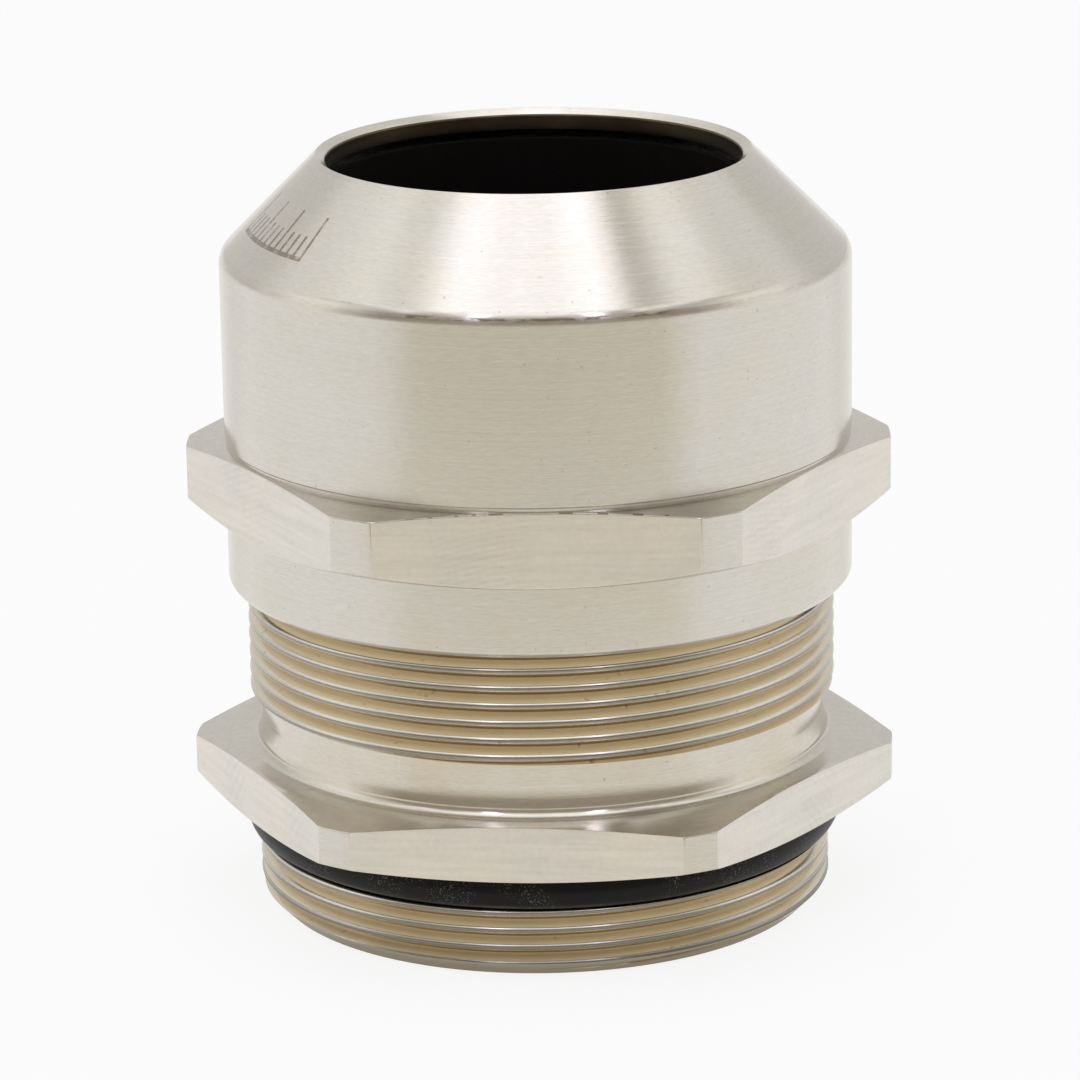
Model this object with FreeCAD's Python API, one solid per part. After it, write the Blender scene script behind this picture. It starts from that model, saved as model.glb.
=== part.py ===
import FreeCAD, Part
import math
import os

# A metric cable gland, 50 mm size: a body with two threads and a hexagon, a dome nut that screws
# onto it, and between them a clamping insert whose fingers press a rubber sleeve onto the cable.
# The axis is Z. z = 0 is the end of the connection thread. All sizes are in millimetres.

# Threads: 60 degree profile, turned here as rings at the pitch
PITCH = 1.5
THREAD_DEPTH = 0.92
CREST_FLAT = 0.25
FLANK_SLOPE = math.tan(math.radians(30))
FLANK_RUN = THREAD_DEPTH * FLANK_SLOPE
BREAK = 0.05

CONNECTION_R = 25.0
CONNECTION_CRESTS = [2.82 + PITCH * n for n in range(3)]
GLAND_THREAD_R = 25.5
GLAND_CRESTS = [19.67 + PITCH * n for n in range(14)]

# Hexagons, cut from bar and then turned on the corners
ACROSS_FLATS = 54.5
CHAMFER_START_R = 27.0

# Gland body
BODY_END_R = 23.56
BODY_HEX_LOW = 9.3
BODY_HEX_HIGH = 14.25
BODY_HEX_CORNER_R = 30.6
BODY_HEX_CORNER_LOW = 10.25
BODY_HEX_CORNER_HIGH = 13.55
BODY_HEX_TURN = -5.1
WAIST_R = 24.45
WAIST_FILLET = 2.0
WAIST_TOP = 18.8
BODY_TOP = 41.0
ENTRY_BORE_R = 19.5
ENTRY_BORE_TOP = 17.0
THROAT_R = 18.2
SEAT_Z = 20.0
COUNTERBORE_R = 22.9
EDGE = 0.4

# Connection O-ring, in an undercut below the hexagon
O_RING_CORD_R = 1.55
O_RING_CENTRE_R = 24.5
O_RING_Z = 7.72
UNDERCUT_R = 22.9
UNDERCUT_LOW = 6.05

# Dome nut
NUT_R = 27.05
NUT_LOW = 28.75
NUT_HEX_LOW = 34.66
NUT_HEX_HIGH = 41.2
NUT_HEX_CORNER_R = 30.4
NUT_HEX_CORNER_LOW = 35.93
NUT_HEX_CORNER_HIGH = 40.6
NUT_HEX_TURN = -0.7
NUT_FOOT_R = 26.85
NUT_FOOT_TOP = 41.6
NUT_SHOULDER_Z = 57.35
NUT_SHOULDER_ROUND = 1.2
NUT_TOP = 65.85
NUT_TOP_R = 18.545
LIP_R = 17.75
LIP_CHAMFER_Z = 65.26
LIP_LOW = 64.0
THREAD_CLEARANCE = 0.25
NUT_THREAD_TOP = 50.0
NUT_CHAMBER_R = 24.9
NUT_CONE_START_R = 18.4

# Slip ring, lining the nut's chamber and its 45 degree cone
SLIP_GAP = 0.1
SLIP_WALL = 0.8
SLIP_LOW = 53.0
SLIP_MOUTH_R = 20.0
SLIP_SKIRT_R = 24.65

# Sealing sleeve
SLEEVE_R = 17.75
SLEEVE_OUTER_R = 19.25
SLEEVE_TOP = 63.3
SLEEVE_ROUND = 0.7
SLEEVE_FOOT_R = 22.8
SLEEVE_FOOT_TOP = 23.0

# Clamping insert: ring, lugs and fingers
CAGE_R = 22.85
CAGE_BORE_R = 19.4
LUG_COUNT = 6
LUG_WIDTH = 3.0
LUG_R = 23.5
LUG_LOW = 37.0
LUG_CLEARANCE = 0.2
FINGER_COUNT = 16
HINGE_R = 21.6
HINGE_Z = 41.5
FINGER_WALL = 1.8
FINGER_LENGTH = 18.7
FINGER_TIP_CHAMFER = 1.3
FINGER_ROOT_WIDTH = 7.6
FINGER_TIP_WIDTH = 4.8
FINGER_LEAN = 3.9
HINGE_GAP = 0.35

# How far a cutting block reaches past the work, along the axis and beside it
OVERRUN = 0.3
CLEAR_OF_WORK = 5.0

ORIGIN = FreeCAD.Vector(0, 0, 0)
UP = FreeCAD.Vector(0, 0, 1)


def at(r, z):
    """A point of the half-section, at radius r and height z."""
    return FreeCAD.Vector(r, 0, z)


def outline(steps):
    """A closed half-section as a face. A step is a point (r, z), or an arc as (middle, end)."""
    start = at(*steps[0])
    edges = []
    here = start
    for step in steps[1:] + [steps[0]]:
        if isinstance(step[0], tuple):
            middle, end = at(*step[0]), at(*step[1])
            edges.append(Part.Arc(here, middle, end).toShape())
        else:
            end = at(*step)
            edges.append(Part.LineSegment(here, end).toShape())
        here = end
    return Part.Face(Part.Wire(edges))


def turned(steps):
    """Revolves a closed half-section about the axis."""
    return outline(steps).revolve(ORIGIN, UP, 360)


def corner(centre, radius, start_deg, end_deg):
    """The arc step of a rounded corner about a centre, as (middle, end)."""
    def point(degrees):
        turn = math.radians(degrees)
        return (centre[0] + radius * math.cos(turn), centre[1] + radius * math.sin(turn))
    return (point((start_deg + end_deg) / 2), point(end_deg))


def thread_steps(crest_r, crests):
    """The outline of a thread's ridges, from the lowest crest to the highest."""
    steps = []
    for z in crests:
        steps.append((crest_r - THREAD_DEPTH, z - CREST_FLAT / 2 - FLANK_RUN))
        steps.append((crest_r, z - CREST_FLAT / 2))
        steps.append((crest_r, z + CREST_FLAT / 2))
        steps.append((crest_r - THREAD_DEPTH, z + CREST_FLAT / 2 + FLANK_RUN))
    return steps


def outside_hexagon(low, high, turn):
    """What a mill takes off a round blank to leave six flats between two heights."""
    corner_r = ACROSS_FLATS / 2 / math.cos(math.radians(30))
    corners = []
    for n in range(7):
        a = math.radians(turn + 60 * n)
        corners.append(FreeCAD.Vector(corner_r * math.cos(a), corner_r * math.sin(a), low))
    prism = Part.Face(Part.makePolygon(corners)).extrude(UP * (high - low))
    return Part.makeCylinder(corner_r + CLEAR_OF_WORK, high - low, at(0, low)).cut(prism)


def radial_block(width, reach, low, high, turn):
    """A block that runs out from the axis to a radius, turned about the axis."""
    block = Part.makeBox(reach, width, high - low, FreeCAD.Vector(0, -width / 2, low))
    block.rotate(ORIGIN, UP, turn)
    return block


def lug_blocks(clearance, low, high):
    """The six blocks of the insert's lugs, or with clearance their notches."""
    return [radial_block(LUG_WIDTH + 2 * clearance, LUG_R + clearance, low, high, 360 / LUG_COUNT * n)
            for n in range(LUG_COUNT)]


def gland_body():
    """Body: bored bar with both threads, O-ring undercut, hexagon and filleted waist."""
    lead_in = CONNECTION_R - BODY_END_R - BREAK
    root_r = CONNECTION_R - THREAD_DEPTH
    first_flank = lead_in + (THREAD_DEPTH - BREAK) * FLANK_SLOPE
    thread = thread_steps(CONNECTION_R, CONNECTION_CRESTS)
    fillet_centre = (WAIST_R + WAIST_FILLET, BODY_HEX_HIGH + WAIST_FILLET)
    steps = [(ENTRY_BORE_R + EDGE, 0), (BODY_END_R, 0), (BODY_END_R + lead_in, lead_in), (root_r, first_flank)]
    steps += thread[:-1]
    steps += [(CONNECTION_R - 2 * BREAK, UNDERCUT_LOW - BREAK), (UNDERCUT_R, UNDERCUT_LOW), (UNDERCUT_R, BODY_HEX_LOW)]
    steps += [(CHAMFER_START_R, BODY_HEX_LOW), (BODY_HEX_CORNER_R, BODY_HEX_CORNER_LOW)]
    steps += [(BODY_HEX_CORNER_R, BODY_HEX_CORNER_HIGH), (CHAMFER_START_R, BODY_HEX_HIGH)]
    steps += [(fillet_centre[0], BODY_HEX_HIGH), corner(fillet_centre, WAIST_FILLET, 270, 180)]
    steps += [(WAIST_R, WAIST_TOP)]
    steps += thread_steps(GLAND_THREAD_R, GLAND_CRESTS)
    rim_r = GLAND_THREAD_R - THREAD_DEPTH
    steps += [(rim_r, BODY_TOP - EDGE), (rim_r - EDGE, BODY_TOP)]
    steps += [(COUNTERBORE_R + EDGE, BODY_TOP), (COUNTERBORE_R, BODY_TOP - EDGE), (COUNTERBORE_R, SEAT_Z)]
    steps += [(THROAT_R, SEAT_Z), (THROAT_R, ENTRY_BORE_TOP + ENTRY_BORE_R - THROAT_R)]
    steps += [(ENTRY_BORE_R, ENTRY_BORE_TOP), (ENTRY_BORE_R, EDGE)]
    body = turned(steps).cut(outside_hexagon(BODY_HEX_LOW - OVERRUN, BODY_HEX_HIGH + OVERRUN, BODY_HEX_TURN))
    for notch in lug_blocks(LUG_CLEARANCE, LUG_LOW - LUG_CLEARANCE, BODY_TOP + OVERRUN):
        body = body.cut(notch)
    return body


def connection_o_ring():
    """O-ring that seals the body against the wall it is screwed into."""
    return Part.makeTorus(O_RING_CENTRE_R, O_RING_CORD_R, at(0, O_RING_Z), UP)


def dome_nut():
    """Nut: skirt over the thread, hexagon, cylinder and 45 degree dome with a round lip."""
    bore_r = GLAND_THREAD_R + THREAD_CLEARANCE
    cone = math.atan2(NUT_TOP - NUT_SHOULDER_Z, NUT_R - NUT_TOP_R)
    back = NUT_SHOULDER_ROUND * math.tan((math.pi / 2 - cone) / 2)
    round_centre = (NUT_R - NUT_SHOULDER_ROUND, NUT_SHOULDER_Z - back)
    steps = [(bore_r + EDGE, NUT_LOW), (NUT_R - EDGE, NUT_LOW), (NUT_R, NUT_LOW + EDGE)]
    steps += [(NUT_R, NUT_HEX_LOW), (NUT_HEX_CORNER_R, NUT_HEX_CORNER_LOW)]
    steps += [(NUT_HEX_CORNER_R, NUT_HEX_CORNER_HIGH), (CHAMFER_START_R, NUT_HEX_HIGH)]
    steps += [(NUT_FOOT_R, NUT_HEX_HIGH), (NUT_FOOT_R, NUT_FOOT_TOP), (NUT_R, NUT_FOOT_TOP + NUT_R - NUT_FOOT_R)]
    steps += [(NUT_R, round_centre[1]), corner(round_centre, NUT_SHOULDER_ROUND, 0, 90 - math.degrees(cone))]
    steps += [(NUT_TOP_R, NUT_TOP), (LIP_R, LIP_CHAMFER_Z), (LIP_R, LIP_LOW), (NUT_CONE_START_R, LIP_LOW)]
    steps += [(NUT_CHAMBER_R, LIP_LOW - (NUT_CHAMBER_R - NUT_CONE_START_R))]
    steps += [(NUT_CHAMBER_R, NUT_THREAD_TOP), (bore_r, NUT_THREAD_TOP), (bore_r, NUT_LOW + EDGE)]
    return turned(steps).cut(outside_hexagon(NUT_HEX_LOW - OVERRUN, NUT_HEX_HIGH + OVERRUN, NUT_HEX_TURN))


def slip_ring():
    """Thin ring that stays still between the turning nut and the fingers."""
    outer_sum = NUT_CONE_START_R + LIP_LOW - SLIP_GAP * math.sqrt(2)
    inner_sum = outer_sum - SLIP_WALL * math.sqrt(2)
    inner_r = SLIP_SKIRT_R - SLIP_WALL
    return turned([(inner_r, SLIP_LOW), (SLIP_SKIRT_R, SLIP_LOW), (SLIP_SKIRT_R, outer_sum - SLIP_SKIRT_R),
                   (SLIP_MOUTH_R, outer_sum - SLIP_MOUTH_R), (SLIP_MOUTH_R, inner_sum - SLIP_MOUTH_R),
                   (inner_r, inner_sum - inner_r)])


def sealing_sleeve():
    """Rubber tube around the cable, with a foot on the body's seat and a rounded mouth."""
    shoulder = SLEEVE_TOP - SLEEVE_ROUND
    outer = (SLEEVE_OUTER_R - SLEEVE_ROUND, shoulder)
    inner = (SLEEVE_R + SLEEVE_ROUND, shoulder)
    return turned([(SLEEVE_R + EDGE, SEAT_Z), (SLEEVE_FOOT_R, SEAT_Z), (SLEEVE_FOOT_R, SLEEVE_FOOT_TOP),
                   (SLEEVE_OUTER_R, SLEEVE_FOOT_TOP), (SLEEVE_OUTER_R, shoulder),
                   corner(outer, SLEEVE_ROUND, 0, 90), (inner[0], SLEEVE_TOP),
                   corner(inner, SLEEVE_ROUND, 90, 180), (SLEEVE_R, SEAT_Z + EDGE)])


def clamp_cage_ring():
    """The insert's ring, whose lugs keep it from turning in the body."""
    low = SLEEVE_FOOT_TOP
    high = HINGE_Z - FINGER_WALL / 2 - HINGE_GAP
    ring = turned([(CAGE_BORE_R, low), (CAGE_R, low), (CAGE_R, high), (CAGE_BORE_R, high)])
    core = Part.makeCylinder(CAGE_BORE_R + EDGE, high - low, at(0, low))
    for lug in lug_blocks(0, LUG_LOW, high):
        ring = ring.fuse(lug.cut(core))
    return ring.removeSplitter()


def clamp_finger():
    """One finger, upright: round at its hinge, narrower to the tip, its outer tip edge cut at 45 degrees."""
    half = FINGER_WALL / 2
    tip = HINGE_Z + FINGER_LENGTH
    root = FINGER_ROOT_WIDTH / 2
    side = outline([(HINGE_R - half, HINGE_Z), corner((HINGE_R, HINGE_Z), half, 180, 360),
                    (HINGE_R + half, tip - FINGER_TIP_CHAMFER), (HINGE_R + half - FINGER_TIP_CHAMFER, tip),
                    (HINGE_R - half, tip)])
    side.translate(FreeCAD.Vector(0, -root, 0))
    bar = side.extrude(FreeCAD.Vector(0, 2 * root, 0))
    low = HINGE_Z - FINGER_WALL
    high = tip + OVERRUN
    end = FINGER_TIP_WIDTH / 2
    corners = [(-root, low), (root, low), (root, HINGE_Z), (end, high), (-end, high), (-root, HINGE_Z), (-root, low)]
    front = Part.Face(Part.makePolygon([FreeCAD.Vector(HINGE_R - CLEAR_OF_WORK, y, z) for y, z in corners]))
    return bar.common(front.extrude(FreeCAD.Vector(2 * CLEAR_OF_WORK, 0, 0)))


def placed_finger(number):
    """A finger leaning in from its hinge, at its place around the axis."""
    finger = clamp_finger()
    finger.rotate(at(HINGE_R, HINGE_Z), FreeCAD.Vector(0, -1, 0), FINGER_LEAN)
    finger.rotate(ORIGIN, UP, 360 / FINGER_COUNT * number)
    return finger


def write(name, shape):
    """Writes one sub-part's solid to its own STEP file."""
    solid = shape.Solids[0]
    print(f"{name}: valid {solid.isValid()}, solids {len(shape.Solids)}, volume {solid.Volume / 1000:.3f} cm3")
    solid.exportStep(f"parts/{name}.step")


os.makedirs("parts", exist_ok=True)
write("gland_body", gland_body())
write("connection_o_ring", connection_o_ring())
write("dome_nut", dome_nut())
write("slip_ring", slip_ring())
write("sealing_sleeve", sealing_sleeve())
write("clamp_cage_ring", clamp_cage_ring())
for number in range(FINGER_COUNT):
    write(f"clamp_finger_{number + 1:02d}", placed_finger(number))
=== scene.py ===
import math

import bmesh
import bpy
from mathutils import Matrix, Vector


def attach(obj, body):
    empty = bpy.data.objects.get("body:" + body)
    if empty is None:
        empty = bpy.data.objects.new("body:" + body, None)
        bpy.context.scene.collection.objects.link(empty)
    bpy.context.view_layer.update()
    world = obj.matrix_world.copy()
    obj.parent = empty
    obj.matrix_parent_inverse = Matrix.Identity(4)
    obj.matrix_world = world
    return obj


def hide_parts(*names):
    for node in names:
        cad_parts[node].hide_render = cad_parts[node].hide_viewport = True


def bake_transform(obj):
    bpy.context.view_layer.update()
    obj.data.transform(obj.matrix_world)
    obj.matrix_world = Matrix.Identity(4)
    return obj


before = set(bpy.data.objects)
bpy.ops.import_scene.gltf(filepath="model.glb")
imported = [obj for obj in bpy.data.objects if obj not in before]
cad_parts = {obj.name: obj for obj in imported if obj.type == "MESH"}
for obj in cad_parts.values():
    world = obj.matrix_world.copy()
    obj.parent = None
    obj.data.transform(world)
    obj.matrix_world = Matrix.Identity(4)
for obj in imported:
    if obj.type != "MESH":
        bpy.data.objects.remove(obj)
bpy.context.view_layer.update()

# ---- Gland body -------------------------------------------------------------------------------
# The body is turned and bored from brass hexagon bar, threaded at both ends and nickel-plated.
# Its short lower thread goes through the enclosure wall; the long upper thread takes the nut.
# Sizes are in millimetres, with z up from the end of the lower thread.

MM = 0.001
ROUND_STEPS = 192
THREAD_STEPS = 144
PITCH = 1.5
THREAD_DEPTH = 0.92
THREAD_HALF_ANGLE = math.radians(30)
CREST_SHARE = 0.85
FLAT_DISTANCE = 27.25
FLAT_EASE = 0.10
CONNECTION_R = 25.0
CONNECTION_CREST_Z = 5.82
GLAND_THREAD_R = 25.5
GLAND_CREST_Z = 19.67
NECK_R = 24.5
NECK_TOP = 18.8
UNDERCUT_R = 22.9
THREAD_CORE_R = 24.1
BODY_TOP = 41.0
BODY_HEX_TURN = -5.1
NICKEL = (0.605, 0.58, 0.532, 1)
NICKEL_WARM = (0.59, 0.56, 0.49, 1)
NICKEL_PINK = (0.62, 0.58, 0.518, 1)
# The thread's valley and flank colours are painted bounce light: golden, darker in the roots, lighter
# towards the crests.
NICKEL_ROOT_PAINTED_BOUNCE = (0.61, 0.525, 0.39, 1)
NICKEL_FLANK_PAINTED_BOUNCE = (0.72, 0.66, 0.53, 1)
NICKEL_CORNER = (0.60, 0.57, 0.51)
# Painted reflection: the crest flats' dark colour stands for the dark room they face.
NICKEL_CREST_PAINTED_REFLECTION = (0.27, 0.255, 0.22, 1)


def half_section(corners):
    """The outline of a half-section. A corner is (r, z), or (r, z, set-back) where it is rounded."""
    bm = bmesh.new()
    verts = [bm.verts.new((r * MM, 0, z * MM)) for r, z, *_ in corners]
    bm.faces.new(verts)
    for vert, (_, _, *set_back) in zip(verts, corners):
        if set_back:
            steps = 2 if set_back[0] < 0.3 else 8
            bmesh.ops.bevel(bm, geom=[vert], offset=set_back[0] * MM, offset_type="OFFSET",
                            affect="VERTICES", segments=steps, profile=0.5, material=-1)
    bmesh.ops.delete(bm, geom=bm.faces[:], context="FACES_ONLY")
    return bm


def turn_round(bm):
    """Spins an outline once round the axis, as a lathe would."""
    bmesh.ops.spin(bm, geom=bm.verts[:] + bm.edges[:], cent=(0, 0, 0), axis=(0, 0, 1), dvec=(0, 0, 0),
                   angle=2 * math.pi, steps=ROUND_STEPS, use_merge=True, use_duplicate=False)
    bmesh.ops.remove_doubles(bm, verts=bm.verts[:], dist=1e-7)
    bmesh.ops.recalc_face_normals(bm, faces=bm.faces[:])


def mill_flats(bm, turn):
    """Mills six flats on whatever stands proud of them, and eases their edges."""
    flats = []
    for n in range(6):
        a = math.radians(turn + 30 + 60 * n)
        out = Vector((math.cos(a), math.sin(a), 0))
        cut = bmesh.ops.bisect_plane(bm, geom=bm.verts[:] + bm.edges[:] + bm.faces[:], dist=1e-7,
                                     plane_co=out * FLAT_DISTANCE * MM, plane_no=out, clear_outer=True)
        rim = [e for e in cut["geom_cut"] if isinstance(e, bmesh.types.BMEdge)]
        flats += bmesh.ops.edgeloop_fill(bm, edges=rim, mat_nr=1)["faces"]
    bmesh.ops.recalc_face_normals(bm, faces=bm.faces[:])
    rims = list({e for f in flats for e in f.edges})
    bmesh.ops.bevel(bm, geom=rims, offset=FLAT_EASE * MM, offset_type="OFFSET", affect="EDGES",
                    segments=2, profile=0.5, material=-1, clamp_overlap=True)


def thread_shell(crest_r, crest_z, low, high, back_r, limit, slack=0):
    """A right-hand thread as a closed ring: a tooth swept up a helix, cut off level at both ends,
    kept within limit(z), with a plain wall at back_r. Slack moves the tooth outwards."""
    root_r = crest_r - THREAD_DEPTH
    run = THREAD_DEPTH * math.tan(THREAD_HALF_ANGLE)
    flat = (PITCH - 2 * run) * CREST_SHARE
    upper = [(0, -0.16), (0.035, -0.06), (0.075, 0.0), (0.14, 0.08)]
    tooth = [(crest_r, 0.08 - flat / 2)] + [(crest_r - depth, flat / 2 + z) for depth, z in upper]
    rise = run + flat / 2
    tooth += [(root_r + 0.26, rise - 0.15), (root_r + 0.08, rise - 0.04), (root_r, rise + 0.03)]
    fall = PITCH - rise
    tooth += [(root_r, fall - 0.03), (root_r + 0.08, fall + 0.04), (root_r + 0.5, fall + 0.29)]
    tooth += [(crest_r - 0.14, PITCH - 0.08 - flat / 2), (crest_r - 0.05, PITCH - 0.01 - flat / 2)]
    tooth += [(crest_r, PITCH + 0.08 - flat / 2)]
    turns = math.ceil((high - low) / PITCH) + 3
    first = crest_z - PITCH * math.ceil((crest_z - low) / PITCH + 1)
    bm = bmesh.new()
    verts = [bm.verts.new((0, -(r + slack) * MM, (first + z) * MM)) for r, z in tooth]
    for a, b in zip(verts, verts[1:]):
        bm.edges.new((a, b))
    bmesh.ops.spin(bm, geom=bm.verts[:] + bm.edges[:], cent=(0, 0, 0), axis=(0, 0, 1),
                   dvec=(0, 0, PITCH * MM / THREAD_STEPS), angle=2 * math.pi, steps=THREAD_STEPS,
                   use_merge=False, use_duplicate=False)
    one_turn = bm.verts[:] + bm.edges[:] + bm.faces[:]
    for n in range(1, turns):
        copy = bmesh.ops.duplicate(bm, geom=one_turn)["geom"]
        moved = [g for g in copy if isinstance(g, bmesh.types.BMVert)]
        bmesh.ops.translate(bm, verts=moved, vec=(0, 0, PITCH * MM * n))
    bmesh.ops.remove_doubles(bm, verts=bm.verts[:], dist=2e-6)
    for height, up in ((low, -1), (high, 1)):
        bmesh.ops.bisect_plane(bm, geom=bm.verts[:] + bm.edges[:] + bm.faces[:], dist=1e-7,
                               plane_co=(0, 0, height * MM), plane_no=(0, 0, up), clear_outer=True)
    for v in bm.verts:
        r = v.co.xy.length
        v.co.xy *= min(r, limit(v.co.z / MM) * MM) / r
    rims = [e for e in bm.edges if e.is_boundary]
    back = bmesh.ops.extrude_edge_only(bm, edges=rims)["geom"]
    for v in (v for v in back if isinstance(v, bmesh.types.BMVert)):
        v.co.xy *= back_r * MM / v.co.xy.length
    bmesh.ops.bridge_loops(bm, edges=[e for e in bm.edges if e.is_boundary])
    bmesh.ops.recalc_face_normals(bm, faces=bm.faces[:])
    return bm


def add_shell(bm, other, material):
    """Adds another closed shell to a bmesh, in one of the piece's materials."""
    for face in other.faces:
        face.material_index = material
    mesh = bpy.data.meshes.new("shell")
    other.to_mesh(mesh)
    other.free()
    bm.from_mesh(mesh)
    bpy.data.meshes.remove(mesh)


def make_piece(name, bm, materials, slot, body, *nodes):
    """Turns a bmesh into a smooth-shaded piece that rides on a body and stands for CAD nodes."""
    for face in bm.faces:
        face.smooth = True
    for edge in bm.edges:
        edge.smooth = len(edge.link_faces) == 2 and edge.calc_face_angle() < math.radians(32)
    mesh = bpy.data.meshes.new(name)
    bm.to_mesh(mesh)
    bm.free()
    piece = bpy.data.objects.new(name, mesh)
    bpy.context.scene.collection.objects.link(piece)
    for material in materials:
        mesh.materials.append(material)
    weighted = piece.modifiers.new("face weights", "WEIGHTED_NORMAL")
    weighted.keep_sharp = True
    if nodes:
        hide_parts(*nodes)
    if body:
        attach(piece, body)
    return piece


class Wire:
    """A socket of a node tree. Sums, products and comparisons of wires add their Math nodes."""

    def __init__(self, tree, socket=None):
        self.tree = tree
        self.socket = socket

    def node(self, kind, settings=None, inputs=None, output=0):
        """Adds a node: its settings first, then the values or wires of its sockets."""
        node = self.tree.nodes.new(kind)
        for key, value in (settings or {}).items():
            if key == "stops":
                elements = node.color_ramp.elements
                while len(elements) < len(value):
                    elements.new(1)
                for element, (position, colour) in zip(elements, value):
                    element.position = position
                    element.color = colour
            else:
                setattr(node, key, value)
        for key, value in (inputs or {}).items():
            if isinstance(value, Wire):
                self.tree.links.new(value.socket, node.inputs[key])
            else:
                node.inputs[key].default_value = value
        return Wire(self.tree, node.outputs[output] if node.outputs else None)

    def math(self, operation, *values):
        inputs = {n: v for n, v in enumerate(values)}
        return self.node("ShaderNodeMath", {"operation": operation}, inputs)

    def __add__(self, other):
        return self.math("ADD", self, other)

    def __sub__(self, other):
        return self.math("SUBTRACT", self, other)

    def __rsub__(self, other):
        return self.math("SUBTRACT", other, self)

    def __mul__(self, other):
        return self.math("MULTIPLY", self, other)

    def __gt__(self, other):
        return self.math("GREATER_THAN", self, other)

    def __lt__(self, other):
        return self.math("LESS_THAN", self, other)

    __radd__ = __add__
    __rmul__ = __mul__


def new_material(name):
    """A material, and a wire on its tree with the piece's own coordinates in metres."""
    material = bpy.data.materials.new(name)
    material.use_nodes = True
    material.node_tree.nodes.clear()
    place = Wire(material.node_tree).node("ShaderNodeTexCoord", output="Object")
    return material, place


def along(place, axis):
    """One coordinate of a place: X, Y or Z."""
    return place.node("ShaderNodeSeparateXYZ", None, {0: place}, output=axis)


def length_of(vector):
    return vector.node("ShaderNodeVectorMath", {"operation": "LENGTH"}, {0: vector}, output="Value")


def stretched(place, x, y, z):
    """The coordinates scaled by a number along each axis."""
    return place.node("ShaderNodeVectorMath", {"operation": "MULTIPLY"}, {0: place, 1: (x, y, z)})


def noise(vector, scale, detail=2.0, roughness=0.5):
    return vector.node("ShaderNodeTexNoise", None,
                       {"Vector": vector, "Scale": scale, "Detail": detail, "Roughness": roughness})


def ramp(value, *stops):
    """Maps a value through stops of (position, grey level)."""
    greys = [(position, (grey, grey, grey, 1)) for position, grey in stops]
    return value.node("ShaderNodeValToRGB", {"stops": greys}, {"Fac": value})


def mix_colour(factor, a, b):
    settings = {"data_type": "RGBA", "blend_type": "MIX"}
    return factor.node("ShaderNodeMix", settings, {"Factor": factor, 6: a, 7: b}, output=2)


def scaled(colour, factor):
    """A colour times a number."""
    return factor.node("ShaderNodeVectorMath", {"operation": "SCALE"}, {0: colour, "Scale": factor})


def finish_material(material, place, colour, roughness, height, depth, **constants):
    """Closes a material with its shader and a bump of a given depth in metres."""
    normal = place.node("ShaderNodeBump", None, {"Strength": 1.0, "Distance": depth, "Height": height})
    inputs = {"Base Color": colour, "Roughness": roughness, "Normal": normal}
    inputs.update({name.replace("_", " "): value for name, value in constants.items()})
    shader = place.node("ShaderNodeBsdfPrincipled", None, inputs)
    place.node("ShaderNodeOutputMaterial", None, {"Surface": shader})
    return material


def hairlines(place, scale, width, density):
    """Sparse fine curved scratches: level lines of one noise, kept only where another is high."""
    level = place.math("ABSOLUTE", noise(place, scale, 1.0) - 0.5)
    kept = ramp(noise(place, scale * 2.3, 0.0), (density, 0), (density + 0.06, 1))
    return ramp(level, (0, 1), (width, 0)) * kept


def turned_nickel(name, colour, warm, roughness, marks=None, mark_colour=(0.21, 0.17, 0.13)):
    """Nickel plate over fine brush lines that run round the axis, with a few handling marks."""
    material, place = new_material(name)
    lines = noise(stretched(place, 60, 60, 8500), 1.0, 2.0)
    fine = noise(stretched(place, 1250, 1250, 9000), 1.0, 1.0)
    long_lines = noise(stretched(place, 12, 12, 3600), 1.0, 3.0)
    patches = noise(place, 170, 3.0)
    scratches = hairlines(place, 95, 0.003, 0.64)
    pits = ramp(noise(place, 2900, 0.0), (0.83, 0), (0.86, 1))
    shade = lines * 0.10 + fine * 0.19 + long_lines * 0.07 + patches * 0.09 + 0.775
    tone = mix_colour(ramp(patches, (0.38, 0), (0.68, 1)), colour, warm)
    tone = scaled(tone, shade + scratches * 0.04 - pits * 0.2)
    rough = lines * 0.08 + patches * 0.06 + (roughness - 0.07)
    height = lines + fine * 0.5 - pits * 0.8 - scratches * 0.5
    if marks:
        mark = marks(place)
        tone = mix_colour(mark, tone, scaled(mark_colour, fine * 0.6 + 0.7))
        rough = rough + mark * 0.2
    return finish_material(material, place, tone, rough, height, 1.5e-6, Metallic=1.0,
                           Anisotropic=0.82, Anisotropic_Rotation=0.25)


def milled_nickel(name):
    """Nickel plate on milled flats: a fine mottle, faint lines along the flats and arcs of the cutter."""
    material, place = new_material(name)
    mottle = noise(place, 2100, 3.0)
    streaks = noise(stretched(place, 120, 120, 2400), 1.0, 2.0)
    patches = noise(stretched(place, 1, 1, 0.7), 190, 4.0)
    off_centre = place.node("ShaderNodeVectorMath", {"operation": "SUBTRACT"},
                            {0: place, 1: (0.003, 0, 0.001)})
    cutter = place.node("ShaderNodeTexWave", {"wave_type": "RINGS", "rings_direction": "Y"},
                        {"Vector": off_centre, "Scale": 620.0, "Distortion": 0.6, "Detail": 1.0},
                        output="Fac")
    arcs = cutter * ramp(noise(place, 110, 1.0), (0.50, 0), (0.60, 1))
    scratches = hairlines(place, 150, 0.003, 0.62)
    water_marks = hairlines(stretched(place, 1, 1, 1.6), 52, 0.008, 0.50)
    shade = mottle * 0.18 + streaks * 0.26 + patches * 0.10 + 0.80
    shade = shade - arcs * 0.06 - water_marks * 0.03
    tone = mix_colour(ramp(patches, (0.36, 0), (0.64, 1)), NICKEL, NICKEL_PINK)
    tone = scaled(tone, shade + scratches * 0.08)
    rough = mottle * 0.10 + patches * 0.08 + 0.22
    height = mottle * 0.7 + streaks * 0.4 - arcs * 0.5
    return finish_material(material, place, tone, rough, height, 1.2e-6, Metallic=1.0)


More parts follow.
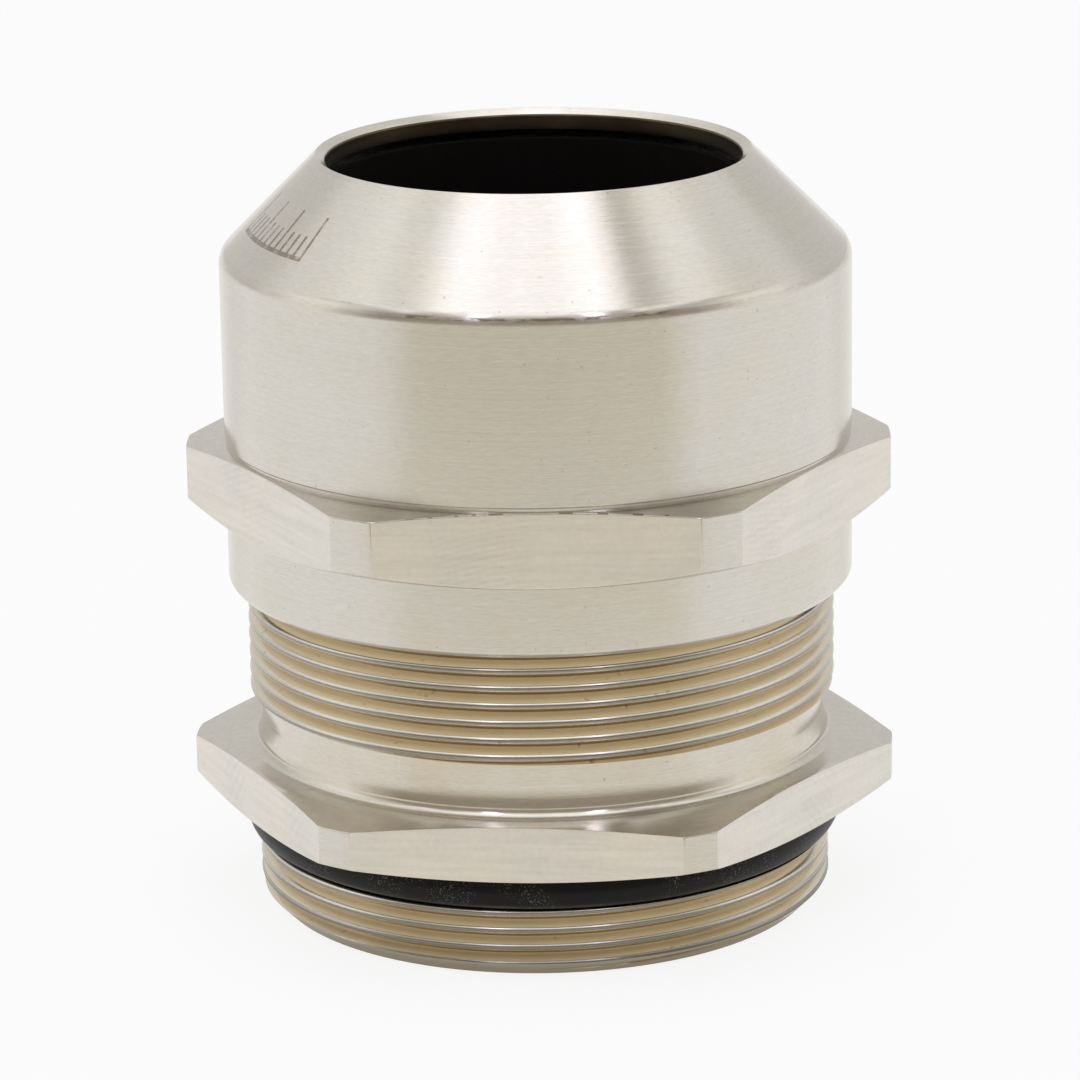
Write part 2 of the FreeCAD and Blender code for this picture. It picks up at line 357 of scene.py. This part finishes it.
nickel_turned = turned_nickel("nickel_turned", NICKEL, NICKEL_WARM, 0.22)
nickel_flats = milled_nickel("nickel_flats")


def thread_nickel(name, crest_r):
    """Nickel plate on a thread, with painted light: the valleys are painted golden and darker for the
    light bounced between the flanks and the shade in the roots, and lighter towards the crests; the
    crests' corners are paler, the crest flats are painted dark for the dark room they reflect, and the
    lowest turns carry painted shade. Up is 0 a millimetre below the crest and 1 on it."""
    material, place = new_material(name)
    up = length_of(stretched(place, 1, 1, 0)) * (1 / MM) - crest_r + 1
    lines = noise(stretched(place, 90, 90, 5200), 1.0, 2.0)
    patches = noise(place, 240, 3.0)
    dirt = ramp(noise(place, 1500, 1.0), (0.72, 0), (0.78, 1))
    # Painted bounce light and shade: golden and darker in the roots, lighter towards the crests.
    tone = mix_colour(ramp(up, (0.30, 0), (0.85, 1)), NICKEL_ROOT_PAINTED_BOUNCE, NICKEL_FLANK_PAINTED_BOUNCE)
    # Painted shade: the lowest turns, near the floor, are darker.
    lowest_turns_painted_shade = ramp(along(place, "Z") * (0.2 / MM), (0.28, 0.40), (0.62, 0.76), (0.90, 1))
    tone = mix_colour(ramp(up, (0.84, 0), (0.90, 1)), tone, scaled(NICKEL_CORNER, lowest_turns_painted_shade))
    # The crest flats are painted dark, a painted reflection of the dark room in front.
    tone = mix_colour(ramp(up, (0.965, 0), (0.99, 1)), tone, NICKEL_CREST_PAINTED_REFLECTION)
    tone = scaled(tone, lines * 0.16 + patches * 0.16 + 0.84 - dirt * 0.25)
    rough = lines * 0.08 + patches * 0.10 + 0.12
    return finish_material(material, place, tone, rough, lines - dirt, 1.0e-6, Metallic=1.0)


connection_nickel = thread_nickel("connection_nickel", CONNECTION_R)
gland_nickel = thread_nickel("gland_nickel", GLAND_THREAD_R)

body_mesh = half_section([
    (19.9, 0), (23.4, 0), (23.4, 6.02), (UNDERCUT_R, 6.05), (UNDERCUT_R, 9.3), (27.0, 9.3),
    (30.6, 10.25, 0.12), (30.6, 13.55, 0.12), (27.0, 14.24, 0.2), (24.86, 14.24, 0.76),
    (24.8, 15.06, 0.03), (NECK_R, 15.95, 0.85), (NECK_R, NECK_TOP, 0.1), (THREAD_CORE_R, 18.9),
    (THREAD_CORE_R, BODY_TOP), (23.75, BODY_TOP), (23.75, 36.8), (22.9, 36.8), (22.9, 20.0),
    (18.2, 20.0), (18.2, 18.3), (19.5, 17.0), (19.5, 0.4)])
turn_round(body_mesh)
mill_flats(body_mesh, BODY_HEX_TURN)
for face in body_mesh.faces:
    middle = face.calc_center_median() / MM
    if middle.xy.length < 25.0 and 14.26 < middle.z < 18.85:
        face.material_index = 4
nickel_neck = turned_nickel("nickel_neck", (0.60, 0.565, 0.50, 1), (0.57, 0.52, 0.43, 1), 0.15)


def connection_limit(z):
    """The radius that the lower thread may have at a height: it is chamfered at its end."""
    return min(23.56 + z, CONNECTION_R)


def gland_limit(z):
    """The radius that the upper thread may have at a height: it is chamfered at its top."""
    return min(GLAND_THREAD_R, 25.1 + BODY_TOP - 0.4 - z)


connection_thread = thread_shell(CONNECTION_R, CONNECTION_CREST_Z, low=0.0, high=6.03, back_r=23.0,
                                 limit=connection_limit)
gland_thread = thread_shell(GLAND_THREAD_R, GLAND_CREST_Z, low=NECK_TOP, high=40.9, back_r=23.9,
                            limit=gland_limit)
add_shell(body_mesh, connection_thread, 3)
add_shell(body_mesh, gland_thread, 2)
body_nickels = [nickel_turned, nickel_flats, gland_nickel, connection_nickel, nickel_neck]
make_piece("gland_body_nickel", body_mesh, body_nickels, "nickel_body", "gland", "gland_body")

# ---- Connection O-ring ------------------------------------------------------------------------
# A moulded black nitrile ring, stretched over the lower thread into the undercut below the
# hexagon. It seals against the enclosure wall. Its surface is satin, with dust and lint on it.

O_RING_R = 24.5
O_RING_CORD = 1.54
O_RING_Z = 7.72
O_RING_SIDES = 32


def black_rubber(name, dusty, sheen, roughness):
    """Satin black rubber with a fine moulded grain and, where it is dusty, grey specks."""
    material, place = new_material(name)
    grain = noise(place, 2600, 3.0)
    patches = noise(place, 260, 3.0)
    dusted = ramp(patches, (0.45, 0), (0.60, 1)) * dusty
    specks = ramp(noise(place, 7000, 1.0), (0.60, 0), (0.68, 1)) * dusted
    tone = mix_colour(specks, (0.010, 0.009, 0.008, 1), (0.20, 0.19, 0.18, 1))
    rough = grain * 0.12 + patches * 0.12 + specks * 0.3 + roughness
    return finish_material(material, place, tone, rough, grain + specks * 1.5, 6e-6,
                           Specular_IOR_Level=sheen)


ring_angles = [2 * math.pi * n / O_RING_SIDES for n in range(O_RING_SIDES)]
ring = half_section([(O_RING_R + O_RING_CORD * math.cos(a), O_RING_Z + O_RING_CORD * math.sin(a))
                     for a in ring_angles])
turn_round(ring)
o_ring_rubber = black_rubber("o_ring_rubber", dusty=1.0, sheen=0.18, roughness=0.24)
make_piece("connection_o_ring_rubber", ring, [o_ring_rubber], "o_ring_rubber", "gland",
           "connection_o_ring")

# ---- Dome nut ---------------------------------------------------------------------------------
# The nut is turned from brass hexagon bar, brushed and nickel-plated. Its 45 degree dome is a
# cone inside too, which presses the fingers in; a plain etched scale stands on the dome.

NUT_R = 27.05
NUT_HEX_TURN = -0.7
NUT_TOP = 65.85
NUT_THREAD_SLACK = 0.12
NUT_BORE_R = 25.9
LIP_R = 17.75
SHOULDER_Z = 57.22
DEGREE = math.pi / 180
SCALE_START = -175 * DEGREE
SCALE_STEP = 2.6 * DEGREE
SCALE_TICKS = 13
SCALE_LINE = (59.70, 60.0)
SHORT_TICK = (59.8, 61.4)
LONG_TICK = (59.8, 62.9)


def between(value, low, high):
    """1 where a value is between two limits, and 0 elsewhere."""
    return (value > low) * (value < high)


def etched_scale(place):
    """A plain scale on the dome: a line part of the way round, with short ticks and longer ones."""
    z = along(place, "Z") * (1 / MM)
    angle = place.math("ARCTAN2", along(place, "Y"), along(place, "X"))
    step = (angle - SCALE_START) * (1 / SCALE_STEP)
    on_scale = between(step, 0.36, SCALE_TICKS - 0.36)
    tick = between(place.math("FRACT", step), 0.34, 0.66)
    fourth = between(place.math("FRACT", step * 0.25), 0.085, 0.165)
    line = between(z, *SCALE_LINE) + tick * between(z, *SHORT_TICK) + fourth * between(z, *LONG_TICK)
    worn = ramp(noise(place, 1600, 2.0), (0.30, 0.35), (0.50, 0.8))
    return place.math("MINIMUM", line, 1.0) * on_scale * worn


def nut_marks(place):
    """The etched scale, and dark flecks along the dome's shoulder and the hexagon's upper edge; the
    shoulder's flecks are strongest at the front, where they also paint the dark reflection of the room.
    """
    forward = along(place, "Y") * (-1 / MM)
    z = along(place, "Z") * (1 / MM)
    # Painted reflection: the shoulder's flecks are strongest towards the front, for the dark room
    # reflected there.
    front_painted_reflection = ramp(forward - 24, (0.0, 0.12), (1.0, 1))
    shoulder = ramp(place.math("ABSOLUTE", z - SHOULDER_Z), (0.05, 1), (0.24, 0))
    flecks = ramp(noise(stretched(place, 640, 640, 3600), 1.0, 3.0), (0.42, 0), (0.54, 1))
    edge = between(forward, 27.04, 27.4) * between(z, 40.8, 41.3)
    nicks = edge * ramp(noise(stretched(place, 700, 0, 0), 1.0, 0.0), (0.53, 0), (0.57, 1))
    return place.math("MINIMUM", etched_scale(place) + shoulder * flecks * front_painted_reflection + nicks, 1.0)


def lip_shade(place):
    """The lip's bore, with painted shade that darkens it towards the sleeve."""
    z = along(place, "Z") * (1 / MM)
    shade_wobble = noise(stretched(place, 300, 300, 900), 1.0, 2.0)
    return ramp(z + shade_wobble * 0.6 - 64.2, (0.1, 0.95), (1.0, 0))


def nut_limit(z):
    """The nut's thread has no chamfer: its roots are as wide at every height."""
    return GLAND_THREAD_R + NUT_THREAD_SLACK


nut_mesh = half_section([
    (26.15, 28.75), (26.65, 28.75), (NUT_R, 29.15, 0.15), (NUT_R, 34.66), (30.4, 35.93, 0.12),
    (30.4, 40.6, 0.12), (27.0, 41.2), (26.93, 41.2), (26.93, 41.45), (NUT_R, 41.6),
    (NUT_R, 57.345, 0.7), (18.545, NUT_TOP, 0.12), (LIP_R, 65.26, 0.12), (LIP_R, 64.0), (18.4, 64.0),
    (24.9, 57.5), (24.9, 50.0), (NUT_BORE_R, 50.0), (NUT_BORE_R, 29.0)])
turn_round(nut_mesh)
mill_flats(nut_mesh, NUT_HEX_TURN)
nut_thread = thread_shell(GLAND_THREAD_R, GLAND_CREST_Z, low=30.0, high=49.0, back_r=26.4,
                          limit=nut_limit, slack=NUT_THREAD_SLACK)
add_shell(nut_mesh, nut_thread, 2)
# The lip's bore takes a dark copy of the nickel: painted shade in the hollow.
for face in nut_mesh.faces:
    middle = face.calc_center_median() / MM
    if middle.xy.length < 18.0 and middle.z < 65.3:
        face.material_index = 3
nickel_dome = turned_nickel("nickel_dome", NICKEL, NICKEL_WARM, 0.20, nut_marks)
nickel_lip_painted_shade = turned_nickel("nickel_lip_painted_shade", (0.13, 0.10, 0.07, 1), (0.09, 0.07, 0.045, 1), 0.30,
                           marks=lip_shade, mark_colour=(0.014, 0.012, 0.010))
nut_nickels = [nickel_dome, nickel_flats, gland_nickel, nickel_lip_painted_shade]
make_piece("dome_nut_nickel", nut_mesh, nut_nickels, "nickel_nut", "nut", "dome_nut")

# ---- Sealing sleeve ---------------------------------------------------------------------------
# A black elastomer tube round the cable. Its foot is clamped on the body's seat; its upper end
# stands inside the fingers with a rounded mouth just under the nut's lip.

FINGERS = 16
FINGER_WIDTH = 2 * math.pi / FINGERS
SLEEVE_OUTER_R = 19.25
SLEEVE_BORE_R = 17.75
SLEEVE_SPLIT = 40.0
SLEEVE_RINGS = (44.0, 48.0, 52.0, 57.0)
SLEEVE_TOP = 63.3
SECTOR_STEPS = 12

sleeve_rubber = black_rubber("sleeve_rubber", dusty=0.05, sheen=0.05, roughness=0.45)
foot = half_section([(18.15, 20.0), (22.8, 20.0, 0.3), (22.8, 23.0, 0.3), (SLEEVE_OUTER_R, 23.0),
                     (SLEEVE_OUTER_R, SLEEVE_SPLIT), (SLEEVE_BORE_R, SLEEVE_SPLIT),
                     (SLEEVE_BORE_R, 20.4)])
turn_round(foot)
make_piece("sealing_sleeve_foot", foot, [sleeve_rubber], "sleeve_rubber", "gland", "sealing_sleeve")

# The bore and the wall each have rings of points between the split and the top.
fold_outline = [(SLEEVE_BORE_R, SLEEVE_SPLIT), (SLEEVE_OUTER_R, SLEEVE_SPLIT)]
fold_outline += [(SLEEVE_OUTER_R, z) for z in SLEEVE_RINGS]
fold_outline += [(18.2, SLEEVE_TOP, 0.22), (SLEEVE_BORE_R, SLEEVE_TOP, 0.22)]
fold_outline += [(SLEEVE_BORE_R, z) for z in reversed(SLEEVE_RINGS)]

for n in range(FINGERS):
    turn = FINGER_WIDTH * n
    fold = half_section(fold_outline)
    bmesh.ops.rotate(fold, verts=fold.verts[:], cent=(0, 0, 0),
                     matrix=Matrix.Rotation(turn - FINGER_WIDTH / 2, 3, "Z"))
    swept = bmesh.ops.duplicate(fold, geom=fold.verts[:] + fold.edges[:])["geom"]
    bmesh.ops.spin(fold, geom=swept, cent=(0, 0, 0), axis=(0, 0, 1), dvec=(0, 0, 0),
                   angle=FINGER_WIDTH, steps=SECTOR_STEPS, use_merge=False, use_duplicate=False)
    bmesh.ops.remove_doubles(fold, verts=fold.verts[:], dist=1e-7)
    bmesh.ops.holes_fill(fold, edges=[e for e in fold.edges if e.is_boundary], sides=0)
    bmesh.ops.recalc_face_normals(fold, faces=fold.faces[:])
    piece = make_piece(f"sealing_sleeve_fold_{n + 1:02d}", fold, [sleeve_rubber], "sleeve_rubber", None)
    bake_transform(piece)

# ---- Clamping insert and slip ring --------------------------------------------------------------
# One black polyamide moulding in reality: a ring with sixteen fingers on living hinges. The thin
# acetal slip ring between it and the nut's cone keeps the turning nut from twisting the fingers.


def moulded_plastic(name, colour):
    """Moulded plastic with a fine satin grain and a slight unevenness of colour."""
    material, place = new_material(name)
    grain = noise(place, 1800, 3.0)
    patches = noise(place, 150, 2.0)
    tone = scaled(colour, patches * 0.2 + 0.9)
    return finish_material(material, place, tone, grain * 0.15 + 0.38, grain, 4e-6)


insert_plastic = moulded_plastic("insert_plastic", (0.03, 0.03, 0.033))
slip_plastic = moulded_plastic("slip_plastic", (0.70, 0.69, 0.65))
insert_nodes = ["clamp_cage_ring"] + [f"clamp_finger_{n + 1:02d}" for n in range(FINGERS)]
plastic_of = {name: insert_plastic for name in insert_nodes}
plastic_of["slip_ring"] = slip_plastic
for name, plastic in plastic_of.items():
    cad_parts[name].data.materials.clear()
    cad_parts[name].data.materials.append(plastic)

# ---- Studio -----------------------------------------------------------------------------------
# A pale floor under a wide soft light, with an even pale surround and the camera a little above
# the gland, as a parts catalogue would show it.

FLOOR_R = 3.0
FLOOR_SEEN = 0.78
CREAM = (0.91, 0.885, 0.83, 1)
TAN = (0.755, 0.72, 0.625, 1)
PALE_GREY = (0.86, 0.85, 0.83, 1)
NEAR_WHITE = (0.985, 0.98, 0.98, 1)

floor_mesh = bmesh.new()
bmesh.ops.create_circle(floor_mesh, cap_ends=True, radius=FLOOR_R, segments=96)
floor_data = bpy.data.meshes.new("floor")
floor_mesh.to_mesh(floor_data)
floor_mesh.free()
floor = bpy.data.objects.new("floor", floor_data)
bpy.context.scene.collection.objects.link(floor)


def ray_is(wire, kind):
    """1 where the ray being traced is of a kind, such as Camera or Glossy."""
    return wire.node("ShaderNodeLightPath", output=f"Is {kind} Ray")


floor_paint = bpy.data.materials.new("floor_paint")
floor_paint.use_nodes = True
floor_paint.node_tree.nodes.clear()
paint = Wire(floor_paint.node_tree).node("ShaderNodeTexCoord", output="Object")
beside = paint.math("ABSOLUTE", along(paint, "X"))
before = paint.math("ABSOLUTE", along(paint, "Y"))

# In reflections the floor is cream to tan in front, pale grey behind, nearly white at the sides,
# and darker close to the gland, a painted shadow of the gland.
paper = mix_colour(ramp(before, (0.11, 0), (0.21, 1)), CREAM, TAN)
paper = mix_colour(along(paint, "Y") > 0.0, paper, PALE_GREY)
around = paint.math("ARCTAN2", beside, before)
paper = mix_colour(ramp(around, (0.74, 0), (1.12, 1)), paper, NEAR_WHITE)
painted_gland_shadow = ramp(length_of(paint), (0.023, 0.30), (0.027, 0.54), (0.032, 0.85), (0.045, 0.97), (0.060, 1))
paper = scaled(paper, painted_gland_shadow)
matt = paint.node("ShaderNodeBsdfDiffuse", None, {"Color": (0.93, 0.93, 0.93, 1)})
pale = paint.node("ShaderNodeEmission", None, {"Color": (1, 1, 1, 1), "Strength": 1.09})
reflected = paint.node("ShaderNodeEmission", None, {"Color": paper, "Strength": 1.1})
seen = ray_is(paint, "Camera") * FLOOR_SEEN
shown = paint.node("ShaderNodeMixShader", None, {0: seen, 1: matt, 2: pale})
shown = paint.node("ShaderNodeMixShader", None, {0: ray_is(paint, "Glossy"), 1: shown, 2: reflected})
paint.node("ShaderNodeOutputMaterial", None, {"Surface": shown})
floor_data.materials.append(floor_paint)

# The surround is a white tent with gaps between its top lights. The room in front is darker, and so
# is the wall behind. What the camera sees of it is plain white.
ROOM = (0.30, 0.262, 0.215, 1)
BACK_WALL = (0.37, 0.36, 0.35, 1)
TENT_GAP = (0.42, 0.40, 0.37, 1)

world = bpy.data.worlds.new("surround")
world.use_nodes = True
world.node_tree.nodes.clear()
bpy.context.scene.world = world
sky = Wire(world.node_tree).node("ShaderNodeTexCoord", output="Generated")
sideways = along(sky, "X")
backward = along(sky, "Y")
upward = along(sky, "Z")
tent = mix_colour(ramp(upward, (0.10, 0), (0.75, 1)), (0.80, 0.78, 0.76, 1), (1, 1, 1, 1))
room = ramp(backward * -1, (0.10, 0), (0.50, 1)) * ramp(upward, (0.50, 1), (0.80, 0))
back_wall = ramp(backward, (0.10, 0), (0.60, 0.6)) * ramp(upward, (0.45, 1), (0.85, 0))
tent = mix_colour(back_wall, mix_colour(room, tent, ROOM), BACK_WALL)
right_gap = ramp(sideways, (0.34, 0), (0.37, 1), (0.43, 0.9), (0.52, 0), (0.61, 0), (0.69, 1))
left_gap = ramp(sideways * -1, (0.42, 0), (0.46, 0.5), (0.55, 0.35), (0.59, 0), (0.63, 0), (0.70, 0.7))
gaps = (right_gap + left_gap) * ramp(upward, (0.50, 0), (0.72, 1))
tent = mix_colour(gaps, tent, TENT_GAP)
ambient = sky.node("ShaderNodeBackground", None, {"Color": tent, "Strength": 0.7})
surround = sky.node("ShaderNodeBackground", None, {"Color": tent, "Strength": 1.38})
white = sky.node("ShaderNodeBackground", None, {"Color": (1, 1, 1, 1), "Strength": 1.0})
shown = sky.node("ShaderNodeMixShader", None, {0: ray_is(sky, "Glossy"), 1: ambient, 2: surround})
shown = sky.node("ShaderNodeMixShader", None, {0: ray_is(sky, "Camera"), 1: shown, 2: white})
sky.node("ShaderNodeOutputWorld", None, {"Surface": shown})


LIGHT_COLOUR = (0.80, 0.74, 1.0)
LIGHTS_AIM = Vector((0, 0, 0.03))


def softbox(name, place, size, radiance):
    """A rectangular soft light that faces the gland."""
    light = bpy.data.lights.new(name, "AREA")
    light.shape = "RECTANGLE"
    light.size, light.size_y = size
    light.energy = radiance * math.pi * size[0] * size[1]
    light.color = LIGHT_COLOUR
    lamp = bpy.data.objects.new(name, light)
    aim = (LIGHTS_AIM - Vector(place)).to_track_quat("-Z", "Y")
    lamp.matrix_world = Matrix.Translation(place) @ aim.to_matrix().to_4x4()
    bpy.context.scene.collection.objects.link(lamp)


softbox("top_softbox", (-0.037, -0.17, 0.70), (0.485, 0.8), 0.21)
softbox("top_left_tube", (-0.247, -0.17, 0.70), (0.07, 0.8), 0.60)
softbox("top_right_tube", (0.171, -0.17, 0.70), (0.07, 0.8), 0.72)
softbox("top_middle_tube", (-0.045, -0.17, 0.70), (0.02, 0.8), 0.20)
softbox("left_strip", (-0.181, -0.423, 0.416), (0.05, 0.22), 3.6)
softbox("right_strip", (0.181, -0.423, 0.416), (0.05, 0.22), 3.6)

TARGET = Vector((0, 0, 31.2 * MM))
CAMERA_DISTANCE = 437.9 * MM
CAMERA_ELEVATION = math.radians(15.87)
CAMERA_ROLL = math.radians(-0.958)

camera_data = bpy.data.cameras.new("camera")
camera_data.sensor_width = 36
camera_data.lens = 167.9
camera = bpy.data.objects.new("camera", camera_data)
back = Vector((0, -math.cos(CAMERA_ELEVATION), math.sin(CAMERA_ELEVATION)))
tilt = Matrix.Rotation(math.pi / 2 - CAMERA_ELEVATION, 4, "X")
roll = Matrix.Rotation(CAMERA_ROLL, 4, "Z")
camera.matrix_world = Matrix.Translation(TARGET + back * CAMERA_DISTANCE) @ tilt @ roll
bpy.context.scene.collection.objects.link(camera)
bpy.context.scene.camera = camera
bpy.context.scene.view_settings.view_transform = "Standard"
